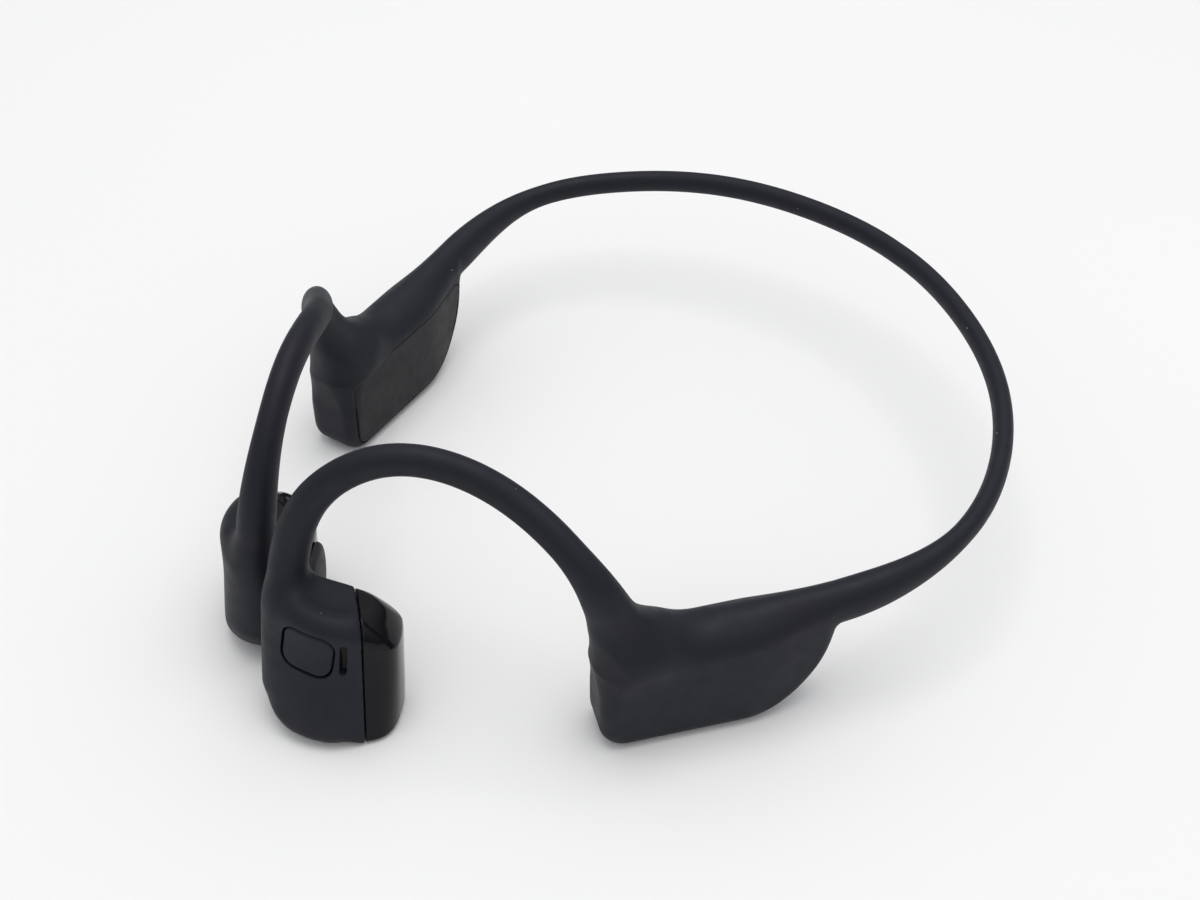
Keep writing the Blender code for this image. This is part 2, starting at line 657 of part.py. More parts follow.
def build_microphone(frame, shell, helper, materials):
    """The microphone behind its slot, with a mesh between them."""
    centre = (MIC_X, MIC_Z)
    slot = rounded_outline(MIC_WIDTH, MIC_HEIGHT, MIC_WIDTH / 2 - 0.00005, 3, centre)
    cut(shell, helper("mic_slot", prism(slot, -0.02, -0.0035, "y")))
    mesh = (MIC_WIDTH - 0.0003, MIC_HEIGHT - 0.0006, 0.0003, 2, centre)
    add_layer("microphone_mesh", mesh, (0.0006, 0.0009), "mesh", frame, materials)
    body = (0.0018, 0.0030, 0.0003, 1, (MIC_X - 0.0004, MIC_Z))
    add_layer("microphone", body, (0.0018, 0.0029), "steel", frame, materials)


# --- whole object ----------------------------------------------------------------------------


def build_side(side_name, side, materials):
    d = Vector((-math.sin(MODULE_TOE), math.cos(MODULE_TOE), 0.0))
    hinge = Vector((*MODULE_PLACE, BAND_LINE[0][2])) + d * ARM_HINGE_Y
    arm = make_empty(f"{side_name}_arm", (hinge.x * side, hinge.y, hinge.z))
    root = Vector(HOOK_LINE[0])
    place = Vector((root.x * side, root.y, root.z)) - arm.location
    hook = make_empty(f"{side_name}_hook", place, parent=arm)
    if side > 0:
        build_left_module(arm, materials)
    else:
        build_right_module(arm, materials)
    build_hook(side_name, side, hook, materials)
    frame, shell, helper = build_pod(side_name, side, hook, materials)
    if side > 0:
        build_button(frame, shell, helper, materials)
        build_microphone(frame, shell, helper, materials)


def main():
    clear_scene()
    materials = make_materials()
    build_neckband(materials)
    for side_name, side in SIDES.items():
        build_side(side_name, side, materials)
    for item in bpy.data.objects:
        if item.parent is None:
            item.location.y += CENTRE_SHIFT


main()
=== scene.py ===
"""Looks of the bone conduction headphones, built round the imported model.

The frame is in metres, +Z up, the wearer faces -Y and +X is the wearer's left. Shapes are worked out in
millimetres as distance fields, negative inside: the left side is drawn, and the right side is its mirror
image with its own openings. The drawing's origin lies DRAWN_FROM away from the frame's.
"""

import json
import math

import bmesh
import bpy
import numpy as np
from mathutils import Euler, Matrix, Vector


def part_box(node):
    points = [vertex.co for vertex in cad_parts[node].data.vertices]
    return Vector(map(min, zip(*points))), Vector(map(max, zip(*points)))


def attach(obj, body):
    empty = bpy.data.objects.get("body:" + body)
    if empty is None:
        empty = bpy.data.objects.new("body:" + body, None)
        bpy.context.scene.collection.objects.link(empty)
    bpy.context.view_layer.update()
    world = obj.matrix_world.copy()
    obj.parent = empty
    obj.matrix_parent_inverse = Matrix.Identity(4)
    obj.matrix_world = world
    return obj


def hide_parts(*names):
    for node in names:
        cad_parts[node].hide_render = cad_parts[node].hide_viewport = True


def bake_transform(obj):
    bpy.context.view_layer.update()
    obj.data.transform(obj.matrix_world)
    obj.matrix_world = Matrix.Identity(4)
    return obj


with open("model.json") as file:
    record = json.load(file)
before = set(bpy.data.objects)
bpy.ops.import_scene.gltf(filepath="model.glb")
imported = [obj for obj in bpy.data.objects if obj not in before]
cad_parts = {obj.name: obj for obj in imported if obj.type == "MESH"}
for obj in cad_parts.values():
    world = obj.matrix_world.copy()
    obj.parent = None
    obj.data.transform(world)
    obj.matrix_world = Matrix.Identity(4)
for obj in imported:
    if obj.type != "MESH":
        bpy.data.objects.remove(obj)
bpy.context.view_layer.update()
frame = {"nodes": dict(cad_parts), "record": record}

MM = 0.001
DRAWN_FROM = np.array([0.0, 0.95, 0.0])  # the drawing's origin in the frame, in mm
FAR = 8.0  # distance given to points that can't touch a shape, in mm
CELL = 0.30  # grid of the skins
FINE_CELL = 0.16  # grid of the small glossy and moulded pieces
STRIDE = 4  # coarse grid step, in cells
SIDES = {"left": 1.0, "right": -1.0}

joints = {joint["name"]: joint for joint in frame["record"]["behaviour"]["joints"]}


def joint_place(name):
    """A joint's point in the drawing, in mm."""
    return np.array(joints[name]["pos_m"]) / MM - DRAWN_FROM


# --- dimensions, in mm ---------------------------------------------------------------------------

HINGE = joint_place("left_arm_flex")
HOOK_ROOT = joint_place("left_hook_flex")

BAND_LINE = [
    (40.5, -11.6, 14.9),
    (43.6, -3.7, 15.6),
    tuple(HINGE),
    (49.6, 20.4, 19.0),
    (43.8, 35.2, 20.2),
    (32.2, 47.0, 21.3),
    (16.8, 54.5, 21.9),
    (0.0, 57.3, 22.0),
    (-16.8, 54.5, 21.9),
]
BAND_HEIGHT, BAND_ROOT_HEIGHT = 3.6, 6.4
BAND_THICKNESS, BAND_ROOT_THICKNESS = 2.9, 5.0

HOOK_LINE = [
    (36.4, -21.9, 16.8),
    tuple(HOOK_ROOT),
    (34.7, -26.6, 26.8),
    (23.7, -31.6, 36.8),
    (11.7, -42.5, 40.5),
    (6.3, -49.5, 34.7),
    (4.2, -54.0, 22.3),
]
HOOK_TAILS = {  # the line runs on down the pod's spine
    "left": [(5.2, -56.2, 13.0), (6.4, -57.4, 6.0)],
    "right": [(4.6, -54.8, 13.0), (5.0, -55.2, 6.0)],
}
HOOK_TIP = np.array(HOOK_LINE[-1])  # where the hook meets the pod
HOOK_WIDTH, HOOK_ROOT_WIDTH, HOOK_TIP_WIDTH = 4.4, 6.6, 5.2
HOOK_THICKNESS, HOOK_ROOT_THICKNESS = 3.7, 5.4
HOOK_RAMP = 14.0  # the root slims to the hook over this length
BORE_ACROSS, BORE_ALONG = 1.4, 2.6
WIRE_RADIUS, CABLE_RADIUS, CORE_OFFSET = 0.35, 0.45, 0.55

MODULE_PLACE = (35.3, -24.8, 0.0)
MODULE_TOE = -21.6
MODULE_HALF = 4.5
MODULE_TOP, MODULE_REAR, MODULE_FRONT = 18.4, 30.4, -2.4
MODULE_FOOT_CORNER = 3.6
MODULE_WALL = 1.2
PANEL_DEPTH = -2.0  # local x where the inner panel's seat lies
PANEL_INSET, PANEL_TOP = 1.5, 14.2
PANEL_GAP = 0.03

POD_PLACES = {"left": (10.0, -52.5, 0.9), "right": (8.7, -51.0, 0.5)}
POD_TURNS = {"left": (-7.0, 4.0, 41.5), "right": (-1.0, 4.0, 41.5)}  # the right one stands more upright
POD_HEIGHT = 19.8
POD_FRONT, POD_BACK = -6.0, 5.6
POD_OUTLINE = [
    (-9.3, -2.2),
    (-6.0, -5.2),
    (-0.5, -6.6),
    (4.6, -5.8),
    (8.9, -3.2),
    (8.9, 1.5),
    (7.4, POD_BACK),
    (-6.4, POD_BACK + 0.2),
    (-9.3, 2.8),
]
POD_BELLIES = {"left": 1.9, "right": 0.8}  # how far the face swells out at its foot
POD_SAGS = {"left": 0.22, "right": 0.05}  # how much the foot drops in front
POD_SPREAD = 0.6  # how much wider the glossy end is at its foot
POD_RISE = 0.13  # how much the top climbs towards the hook's side
POD_FALL, POD_FALL_X = 0.16, 3.0
POD_TAPER, POD_TAPER_Z = 3.0, 11.5
POD_DENT = 1.3
POD_WALL = 1.1
POD_SPLIT = (5.6, -5.0)  # local x of the seam at the outer face's foot, and local y there
POD_SPLIT_TURN, POD_SPLIT_LEAN = 24.0, 0.045
BUTTON_TURN, BUTTON_TILT = -6.0, 4.0
POD_SEAM = 0.06  # half the gap between skin and housing
HOUSING_STEP = 0.14  # the housing lies this far under the skin's surface

BUTTON_WIDTH, BUTTON_HEIGHT, BUTTON_CORNER = 7.2, 6.2, 1.8
KEY_BACK = 0.55  # leaves room to the switch for the key's travel
MIC_WIDTH, MIC_HEIGHT = 1.0, 4.8
CHARGE_LENGTH, CHARGE_HEIGHT = 7.8, 3.4
PAD_SIZE, PAD_CORNER = (8.6, 9.6), 3.4


# --- distance fields -----------------------------------------------------------------------------


def smooth_min(a, b, reach):
    """The union of two fields, with a fillet where both are within reach."""
    h = np.maximum(reach - np.abs(a - b), 0.0) / reach
    return np.minimum(a, b) - h * h * reach / 4


def smooth_max(a, b, reach):
    return -smooth_min(-a, -b, reach)


def ease(t, start, end):
    """0 before start, 1 after end, smooth between."""
    t = np.clip((t - start) / (end - start), 0.0, 1.0)
    return t * t * (3 - 2 * t)


def polygon_distance(u, v, loop):
    """Signed distance to a closed polygon in the plane."""
    best = np.full(u.shape, 1e9)
    inside = np.zeros(u.shape, bool)
    for (u0, v0), (u1, v1) in zip(loop, loop[1:] + loop[:1]):
        du, dv = u1 - u0, v1 - v0
        pu, pv = u - u0, v - v0
        along = np.clip((pu * du + pv * dv) / (du * du + dv * dv), 0.0, 1.0)
        best = np.minimum(best, (pu - du * along) ** 2 + (pv - dv * along) ** 2)
        crosses = (v0 > v) != (v1 > v)
        if dv:
            inside ^= crosses & (u < u0 + du * (v - v0) / dv)
    return np.where(inside, -1.0, 1.0) * np.sqrt(best)


def rounded_box(u, v, width, height, corner):
    """Signed distance to a rounded rectangle about the origin."""
    qu, qv = np.abs(u) - width / 2 + corner, np.abs(v) - height / 2 + corner
    return np.hypot(np.maximum(qu, 0), np.maximum(qv, 0)) + np.minimum(np.maximum(qu, qv), 0) - corner


def rounded_extrusion(outline, offset, half, rounding):
    """An outline's field and the offset from the middle plane, as a slab with rounded edges."""
    a, b = outline + rounding, np.abs(offset) - half + rounding
    return np.hypot(np.maximum(a, 0), np.maximum(b, 0)) + np.minimum(np.maximum(a, b), 0) - rounding


def only_near(points, low, high, field):
    """The field inside a box, and FAR elsewhere."""
    near = ((points > low) & (points < high)).all(axis=1)
    value = np.full(len(points), FAR)
    if near.any():
        value[near] = field(points[near])
    return value


class Place:
    """A local frame: origin in mm and a turn in degrees about x, then y, then z."""

    def __init__(self, origin, turn):
        self.origin = np.array(origin, float)
        self.matrix = np.array(Euler([math.radians(a) for a in turn]).to_matrix())

    def local(self, points):
        return (points - self.origin) @ self.matrix

    def world(self, points):
        return np.asarray(points, float) @ self.matrix.T + self.origin


module = Place(MODULE_PLACE, (0, 0, MODULE_TOE))
pods = {side_name: Place(POD_PLACES[side_name], POD_TURNS[side_name]) for side_name in SIDES}


def button_place():
    """The key's frame: at the middle of the CAD key, turned to follow the curve of the pod's face."""
    low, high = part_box("multifunction_button")
    lean, tilt, toe = POD_TURNS["left"]
    return Place(np.array((low + high) / 2) / MM - DRAWN_FROM, (lean, tilt + BUTTON_TILT, toe + BUTTON_TURN))


button = button_place()


def spline(knots, spacing):
    """Points evenly spaced along the natural cubic spline through the knots."""
    knots = np.array(knots, float)
    steps = np.linalg.norm(np.diff(knots, axis=0), axis=1)
    at = np.concatenate([[0.0], np.cumsum(steps)])
    size = len(knots)
    system, bend = np.eye(size), np.zeros_like(knots)
    for i in range(1, size - 1):
        system[i, i - 1 : i + 2] = steps[i - 1], 2 * (steps[i - 1] + steps[i]), steps[i]
        bend[i] = 6 * ((knots[i + 1] - knots[i]) / steps[i] - (knots[i] - knots[i - 1]) / steps[i - 1])
    curve = np.linalg.solve(system, bend)

    def points_at(t):
        i = np.clip(np.searchsorted(at, t, side="right") - 1, 0, size - 2)
        h, a, b = steps[i][:, None], (at[i + 1] - t)[:, None], (t - at[i])[:, None]
        cubic = (curve[i] * a**3 + curve[i + 1] * b**3) / (6 * h)
        return cubic + (knots[i] / h - curve[i] * h / 6) * a + (knots[i + 1] / h - curve[i + 1] * h / 6) * b

    dense = points_at(np.linspace(0.0, at[-1], 4000))
    length = np.concatenate([[0.0], np.cumsum(np.linalg.norm(np.diff(dense, axis=0), axis=1))])
    count = int(round(length[-1] / spacing)) + 1
    even = np.linspace(0.0, length[-1], count)
    return np.stack([np.interp(even, length, dense[:, i]) for i in range(3)], 1)


class Sweep:
    """A line with an elliptical section. Sizes are full widths, functions of the distance along the line in mm."""

    def __init__(self, knots, reference, across_size, other_size, spacing=0.5):
        self.line = spline(knots, spacing)
        self.spacing = spacing
        self.tangent = np.gradient(self.line, axis=0)
        self.tangent /= np.linalg.norm(self.tangent, axis=1)[:, None]
        across = np.cross(self.tangent, reference)
        self.across = across / np.linalg.norm(across, axis=1)[:, None]
        self.other = np.cross(self.across, self.tangent)
        self.run = np.arange(len(self.line)) * spacing
        self.across_half = across_size(self.run) / 2
        self.other_half = other_size(self.run) / 2

    def run_at(self, point):
        """How far along the line its point nearest to this one lies."""
        return self.run[np.argmin(((self.line - point) ** 2).sum(axis=1))]

    def coordinates(self, points):
        """(across, other, past the end, index, fraction) of each point in the frame of the nearest line point."""
        line = self.line.astype(np.float32)
        square = (line * line).sum(axis=1)
        nearest = np.empty(len(points), int)
        for i in range(0, len(points), 100_000):
            part = points[i : i + 100_000].astype(np.float32)
            nearest[i : i + 100_000] = np.argmin(square - 2 * part @ line.T, axis=1)
        before = np.maximum(nearest - 1, 0)
        after = np.minimum(nearest + 1, len(line) - 1)
        here = self.line[nearest]
        along = ((points - here) * self.tangent[nearest]).sum(axis=1)
        u = np.clip(along / self.spacing, -0.5, 0.5)
        slope = (self.line[after] - self.line[before]) / (after - before)[:, None]
        bend = self.line[after] - 2 * here + self.line[before]
        bend[(nearest == 0) | (nearest == len(line) - 1)] = 0
        centre = here + slope * u[:, None] + bend * (u * u / 2)[:, None]
        away = points - centre
        steps = u[:, None]
        across = self.across[nearest] + (self.across[after] - self.across[before]) / 2 * steps
        other = self.other[nearest] + (self.other[after] - self.other[before]) / 2 * steps
        past = np.maximum(np.abs(along) - 0.5 * self.spacing, 0.0)
        past[(nearest > 0) & (nearest < len(line) - 1)] = 0.0
        return (away * across).sum(axis=1), (away * other).sum(axis=1), past, nearest + u

    def fields(self, points, bore):
        """The sleeve's field, and its bore's."""
        a, b, past, index = self.coordinates(points)
        index = np.clip(index, 0, len(self.run) - 1)
        every = np.arange(len(self.run))
        outer = ellipse(a, b, np.interp(index, every, self.across_half), np.interp(index, every, self.other_half))
        outer = np.where(past > 0, np.hypot(np.maximum(outer, 0), past) + np.minimum(outer, 0), outer)
        if not bore:
            return outer, None
        return outer, np.maximum(ellipse(a, b, BORE_ACROSS / 2, BORE_ALONG / 2), past - 0.01)


def ellipse(a, b, half_a, half_b):
    """Distance to an ellipse, right to first order at its edge."""
    share = np.hypot(a / half_a, b / half_b)
    slope = np.hypot(a / half_a**2, b / half_b**2)
    return np.where(slope > 1e-6, share * (share - 1) / np.maximum(slope, 1e-6), -np.minimum(half_a, half_b))


# --- the shapes of one side ----------------------------------------------------------------------


def band_sweep():
    line = BAND_LINE
    made = Sweep(line, (0, 0, 1), lambda s: s * 0 + 1, lambda s: s * 0 + 1)
    hinge_run = made.run_at(HINGE)

    def thickness(s):
        return BAND_THICKNESS + (BAND_ROOT_THICKNESS - BAND_THICKNESS) * (1 - ease(s, hinge_run, hinge_run + 21))

    def height(s):
        return BAND_HEIGHT + (BAND_ROOT_HEIGHT - BAND_HEIGHT) * (1 - ease(s, hinge_run, hinge_run + 21))

    return Sweep(line, (0, 0, 1), thickness, height)


def hook_sweep(tail):
    line = HOOK_LINE + tail
    start, end = HOOK_ROOT, HOOK_TIP
    plane = np.cross(end - start, (0, 0, 1))
    plane /= np.linalg.norm(plane)
    made = Sweep(line, plane, lambda s: s * 0 + 1, lambda s: s * 0 + 1)
    root, length = made.run_at(HOOK_ROOT), made.run[-1]
    tip = made.run_at(HOOK_TIP)

    def width(s):
        flare = (HOOK_ROOT_WIDTH - HOOK_WIDTH) * (1 - ease(s, root, root + HOOK_RAMP))
        return HOOK_WIDTH + flare + (HOOK_TIP_WIDTH - HOOK_WIDTH) * ease(s, tip - 18, tip)

    def thickness(s):
        flare = (HOOK_ROOT_THICKNESS - HOOK_THICKNESS) * (1 - ease(s, root, root + HOOK_RAMP))
        return HOOK_THICKNESS + flare + (HOOK_TIP_WIDTH - HOOK_THICKNESS) * ease(s, tip - 18, tip)

    return Sweep(line, plane, width, thickness)


def bezier(points, count):
    t = np.linspace(0, 1, count)[:, None]
    p = np.array(points, float)
    curve = (1 - t) ** 3 * p[0] + 3 * t * (1 - t) ** 2 * p[1] + 3 * t * t * (1 - t) * p[2] + t**3 * p[3]
    return [tuple(point) for point in curve]


def module_profile():
    """The ear module's side view as a loop of local (y, z)."""
    r = MODULE_FOOT_CORNER
    turns = np.linspace(math.pi, 1.5 * math.pi, 10)
    loop = [(MODULE_FRONT + r + r * math.cos(a), r + r * math.sin(a)) for a in turns]
    loop += bezier([(17.5, 0.0), (24.5, 0.2), (28.4, 6.0), (MODULE_REAR - 0.4, 12.2)], 14)
    loop += [(MODULE_REAR, 13.8), (MODULE_REAR, 17.0), (MODULE_REAR - 0.5, MODULE_TOP)]
    loop += [(4.6, MODULE_TOP - 0.4), (-0.6, MODULE_TOP - 0.7), (MODULE_FRONT, 14.0)]
    return loop


MODULE_PROFILE = module_profile()
BAND = band_sweep()
HOOKS = {side_name: hook_sweep(tail) for side_name, tail in HOOK_TAILS.items()}


def module_field(points, shrink=0.0):
    """The ear module: flat sides, a full round top, a tighter round underside, slimmer towards the neckband."""
    def field(near):
        x, y, z = module.local(near).T
        outline = polygon_distance(y, z, MODULE_PROFILE)
        half = MODULE_HALF * (1 - 0.40 * ease(y, 17.0, MODULE_REAR)) - 0.2 * ((z - 9.0) / 9.0) ** 2
        rounding = (2.2 + 1.9 * ease(z, 7.0, 16.0)) * (1 - 0.45 * ease(y, 17.0, MODULE_REAR))
        return rounded_extrusion(outline, x, half, rounding) + shrink
    low = np.array([20.0, -38.0, -8.0])
    high = np.array([60.0, 18.0, 28.0])
    return only_near(points, low, high, field)


def panel_outline(y, z):
    """The inner panel of an ear module, in local (y, z)."""
    return smooth_max(polygon_distance(y, z, MODULE_PROFILE) + PANEL_INSET, z - PANEL_TOP, 2.0)


def rounded_off(loop, rounds=3):
    """A closed loop with its corners cut again and again."""
    for _ in range(rounds):
        pairs = list(zip(loop, loop[1:] + loop[:1]))
        loop = [tuple(p + (q - p) * t for p, q in zip(a, b)) for a, b in pairs for t in (0.25, 0.75)]
    return loop


POD_LOOP = rounded_off(POD_OUTLINE)


def pod_field(points, side_name):
    """The transducer pod: round in plan, rounded over below and above, taller on the hook's side."""
    def field(near):
        x, y, z = pods[side_name].local(near).T
        high = ease(z, POD_TAPER_Z, POD_HEIGHT)
        low = 1 - ease(z, 0.0, 14.0)
        taper = POD_TAPER * high * ease(y, POD_FRONT / 2, POD_BACK / 2)
        belly = POD_BELLIES[side_name] * low * ease(-y, -2.0, 5.0) * ease(x, -13.0, -6.0)
        belly *= 1 - 0.45 * ease(x, 1.0, 7.0)
        outline = polygon_distance(x - POD_SPREAD * low * ease(x, 2.0, 8.0), y + taper + belly, POD_LOOP)
        dent = POD_DENT * np.exp(-(((x + 0.5) / 4.5) ** 2) - ((y + 2.0) / 2.6) ** 2)
        fall = POD_FALL * np.maximum(x - POD_FALL_X, 0.0) ** 2
        sag = POD_SAGS[side_name] * np.maximum(-y, 0.0) * low
        level = z + sag + (POD_RISE * x + dent + fall) * ease(z, 6.0, POD_HEIGHT)
        rounding = 2.8 + 2.0 * ease(-x, 3.5, 9.0) + 0.8 * ease(-y, -1.0, 4.0) * high
        rounding = rounding - 1.7 * ease(x, 3.0, 6.5) * (1 - ease(z, 3.0, 10.0))
        return rounded_extrusion(outline, level - POD_HEIGHT / 2, POD_HEIGHT / 2, rounding)
    low = np.array([-9.0, -72.0, -9.0])
    high = np.array([32.0, -32.0, 32.0])
    return only_near(points, low, high, field)


def pod_split(points, side_name):
    """Signed distance past the seam where the skin ends and the glossy end piece begins."""
    x, y, z = pods[side_name].local(points).T
    turn = math.radians(POD_SPLIT_TURN)
    across = x + POD_SPLIT_LEAN * z - POD_SPLIT[0]
    return math.cos(turn) * across + math.sin(turn) * (y - POD_SPLIT[1])


def side_fields(points, side_name):
    """Fields of one side's outer surface and of its hollows."""
    band, band_bore = BAND.fields(points, True)
    hook, hook_bore = HOOKS[side_name].fields(points, True)
    box = module_field(points)
    shell = pod_field(points, side_name)
    outer = smooth_min(smooth_min(box, hook, 7.0), band, 0.8)
    outer = smooth_min(outer, shell, 2.4)
    hollow = np.minimum(np.minimum(box + MODULE_WALL, shell + POD_WALL), np.minimum(band_bore, hook_bore))
    return outer, hollow


def skin_field(points, side_name):
    """The silicone skin of one side with its band half: hollow, open at the inner panel and at the pod's housing."""
    outer, hollow = side_fields(points, side_name)
    value = smooth_max(outer, -hollow, 0.25)
    local = module.local(points)
    opening = np.maximum(panel_outline(local[:, 1], local[:, 2]) - PANEL_GAP, local[:, 0] - PANEL_DEPTH)
    value = smooth_max(value, -opening, 0.15)
    at_pod = (points[:, 1] < -38) & (points[:, 2] < 30)
    past = np.where(at_pod, pod_split(points, side_name) + POD_SEAM, -FAR)
    return smooth_max(value, past, 0.35)


# --- meshes from fields --------------------------------------------------------------------------


def grid_values(field, low, high, cell):
    """Field values on a grid, worked out only near the surface."""
    counts = np.ceil((np.array(high) - low) / (cell * STRIDE)).astype(int) * STRIDE + 1
    axes = [low[i] + cell * np.arange(counts[i]) for i in range(3)]
    coarse = np.stack(np.meshgrid(*(a[::STRIDE] for a in axes), indexing="ij"), -1)
    rough = field(coarse.reshape(-1, 3)).reshape(coarse.shape[:3]).astype(np.float32)
    blocks = np.abs(rough[:-1, :-1, :-1]) < STRIDE * cell * 2.3
    for i in range(3):
        blocks = np.repeat(blocks, STRIDE, axis=i)
    needed = np.zeros(counts, bool)
    for shift in np.ndindex(2, 2, 2):
        window = tuple(slice(s, s + n - 1) for s, n in zip(shift, counts))
        needed[window] |= blocks
    values = rough
    for i in range(3):
        values = np.repeat(values, STRIDE, axis=i)
    values = np.ascontiguousarray(values[: counts[0], : counts[1], : counts[2]])
    where = np.nonzero(needed)
    points = np.stack([axes[i][where[i]] for i in range(3)], 1)
    values[where] = in_parts(field, points)
    return values, axes


def in_parts(field, points, size=250_000):
    return np.concatenate([field(points[i : i + size]) for i in range(0, len(points), size)])


def net_surface(field, low, high, cell):
    """(points, quads) of a field's zero surface: one vertex in each cell that the surface crosses."""
    values, axes = grid_values(field, np.array(low, float), np.array(high, float), cell)
    inside = values < 0
    stride = np.array([values.shape[1] * values.shape[2], values.shape[2], 1])
    cells, places, flips = [], [], []
    for axis in range(3):
        u, v = (axis + 1) % 3, (axis + 2) % 3
        lower = [slice(None)] * 3
        upper = [slice(None)] * 3
        lower[axis], upper[axis] = slice(0, -1), slice(1, None)
        node = np.argwhere(inside[tuple(lower)] != inside[tuple(upper)])
        flat = node @ stride
        first = values.ravel()[flat]
        second = values.ravel()[flat + stride[axis]]
        place = np.stack([axes[i][node[:, i]] for i in range(3)], 1)
        place[:, axis] += cell * first / (first - second)
        corners = [flat - stride[u] - stride[v], flat - stride[v], flat, flat - stride[u]]
        cells.append(np.stack(corners, 1))
        places.append(place)
        flips.append(first >= 0)
    cells, places, flips = np.concatenate(cells), np.concatenate(places), np.concatenate(flips)
    _, index, count = np.unique(cells, return_inverse=True, return_counts=True)
    index = index.reshape(-1)
    repeated = np.repeat(places, 4, axis=0)
    points = np.stack([np.bincount(index, repeated[:, i]) for i in range(3)], 1) / count[:, None]
    quads = index.reshape(-1, 4)
    quads[flips] = quads[flips][:, ::-1]
    return points, quads


def slope_of(field, points, step=0.02):
    """The field's gradient from four samples at a tetrahedron's corners."""
    corners = np.array([(1, 1, 1), (1, -1, -1), (-1, 1, -1), (-1, -1, 1)], float)
    return sum(corner * in_parts(field, points + corner * step)[:, None] for corner in corners) / (4 * step)


def settled(field, points, quads, cell, rounds=2):
    """Evens out the vertices along the surface and puts them back on it."""
    for _ in range(rounds):
        total, count = np.zeros_like(points), np.zeros(len(points))
        for k in range(4):
            for other in (quads[:, (k + 1) % 4], quads[:, (k + 3) % 4]):
                for i in range(3):
                    total[:, i] += np.bincount(quads[:, k], points[other, i], len(points))
                count += np.bincount(quads[:, k], minlength=len(points))
        points = points * 0.5 + total / count[:, None] * 0.5
        value = in_parts(field, points)
        slope = slope_of(field, points)
        step = slope * (value / np.maximum((slope**2).sum(axis=1), 0.25))[:, None]
        length = np.linalg.norm(step, axis=1)[:, None]
        points = points - step * np.minimum(1.0, cell * 0.7 / np.maximum(length, 1e-9))
    return points


def mesh_object(name, points, faces, side=1.0, sharp=40):
    """A mesh object from the drawing's points and quads, mirrored for the right side."""
    points = np.array(points, float) + DRAWN_FROM
    faces = np.array(faces)
    if side < 0:
        points[:, 0] *= -1
        faces = faces[:, ::-1]
    mesh = bpy.data.meshes.new(name)
    mesh.vertices.add(len(points))
    mesh.vertices.foreach_set("co", (points * MM).astype(np.float32).ravel())
    mesh.loops.add(faces.size)
    mesh.loops.foreach_set("vertex_index", faces.astype(np.int32).ravel())
    mesh.polygons.add(len(faces))
    mesh.polygons.foreach_set("loop_start", np.arange(0, faces.size, faces.shape[1], dtype=np.int32))
    mesh.update(calc_edges=True)
    mesh.validate()
    return link_mesh(name, mesh, sharp)


def link_mesh(name, mesh, sharp=40):
    mesh.shade_smooth()
    mesh.set_sharp_from_angle(angle=math.radians(sharp))
    made = bpy.data.objects.new(name, mesh)
    bpy.context.scene.collection.objects.link(made)
    return made


def field_object(name, field, low, high, cell, side=1.0, rounds=2):
    points, quads = net_surface(field, low, high, cell)
    points = settled(field, points, quads, cell, rounds)
    return mesh_object(name, points, quads, side)


def prism(name, loop, low, high, place, side=1.0, axis="y"):
    """A closed prism with its loop in the place's local plane square to the axis."""
    rings = []
    for w in (low, high):
        order = {"x": lambda u, v: (w, u, v), "y": lambda u, v: (u, w, v), "z": lambda u, v: (u, v, w)}[axis]
        rings.append([order(u, v) for u, v in loop])
    points = place.world(np.array(rings[0] + rings[1])) + DRAWN_FROM
    points[:, 0] *= side
    count = len(loop)
    shape = bmesh.new()
    verts = [shape.verts.new(point * MM) for point in points]
    for k in range(count):
        following = (k + 1) % count
        shape.faces.new((verts[k], verts[following], verts[count + following], verts[count + k]))
    shape.faces.new(verts[:count])
    shape.faces.new(verts[count:])
    bmesh.ops.recalc_face_normals(shape, faces=shape.faces)
    mesh = bpy.data.meshes.new(name)
    shape.to_mesh(mesh)
    shape.free()
    return link_mesh(name, mesh)


def rounded_loop(width, height, corner, centre=(0.0, 0.0), steps=8):
    loop = []
    for quarter in range(4):
        su = 1 if quarter in (0, 3) else -1
        sv = 1 if quarter < 2 else -1
        for k in range(steps + 1):
            a = math.pi / 2 * (quarter + k / steps)
            u = centre[0] + su * (width / 2 - corner) + corner * math.cos(a)
            v = centre[1] + sv * (height / 2 - corner) + corner * math.sin(a)
            loop.append((u, v))
    return loop


def cut(target, cutters):
    """Cuts the cutters out of the target's mesh and removes them."""
    for cutter in cutters:
        step = target.modifiers.new(cutter.name, "BOOLEAN")
        step.object = cutter
        step.solver = "EXACT"
    applied = bpy.data.meshes.new_from_object(target.evaluated_get(bpy.context.evaluated_depsgraph_get()))
    target.modifiers.clear()
    target.data = applied
    applied.shade_smooth()
    applied.set_sharp_from_angle(angle=math.radians(40))
    for cutter in cutters:
        bpy.data.objects.remove(cutter)


def split_part(source, name, cuts):
    """A copy of the source's mesh kept on the far side of each (point, normal) plane, closed where it is cut."""
    shape = bmesh.new()
    shape.from_mesh(source.data)
    for point, normal in cuts:
        geometry = shape.verts[:] + shape.edges[:] + shape.faces[:]
        done = bmesh.ops.bisect_plane(
            shape, geom=geometry, plane_co=Vector(point), plane_no=Vector(normal), clear_inner=True, dist=1e-7
        )
        edges = [item for item in done["geom_cut"] if isinstance(item, bmesh.types.BMEdge)]
        bmesh.ops.triangle_fill(shape, edges=edges, use_beauty=True, normal=Vector(normal) * -1)
    loose = [vert for vert in shape.verts if not vert.link_faces]
    bmesh.ops.delete(shape, geom=loose, context="VERTS")
    mesh = bpy.data.meshes.new(name)
    shape.to_mesh(mesh)
    shape.free()
    return link_mesh(name, mesh)


# --- pieces --------------------------------------------------------------------------------------

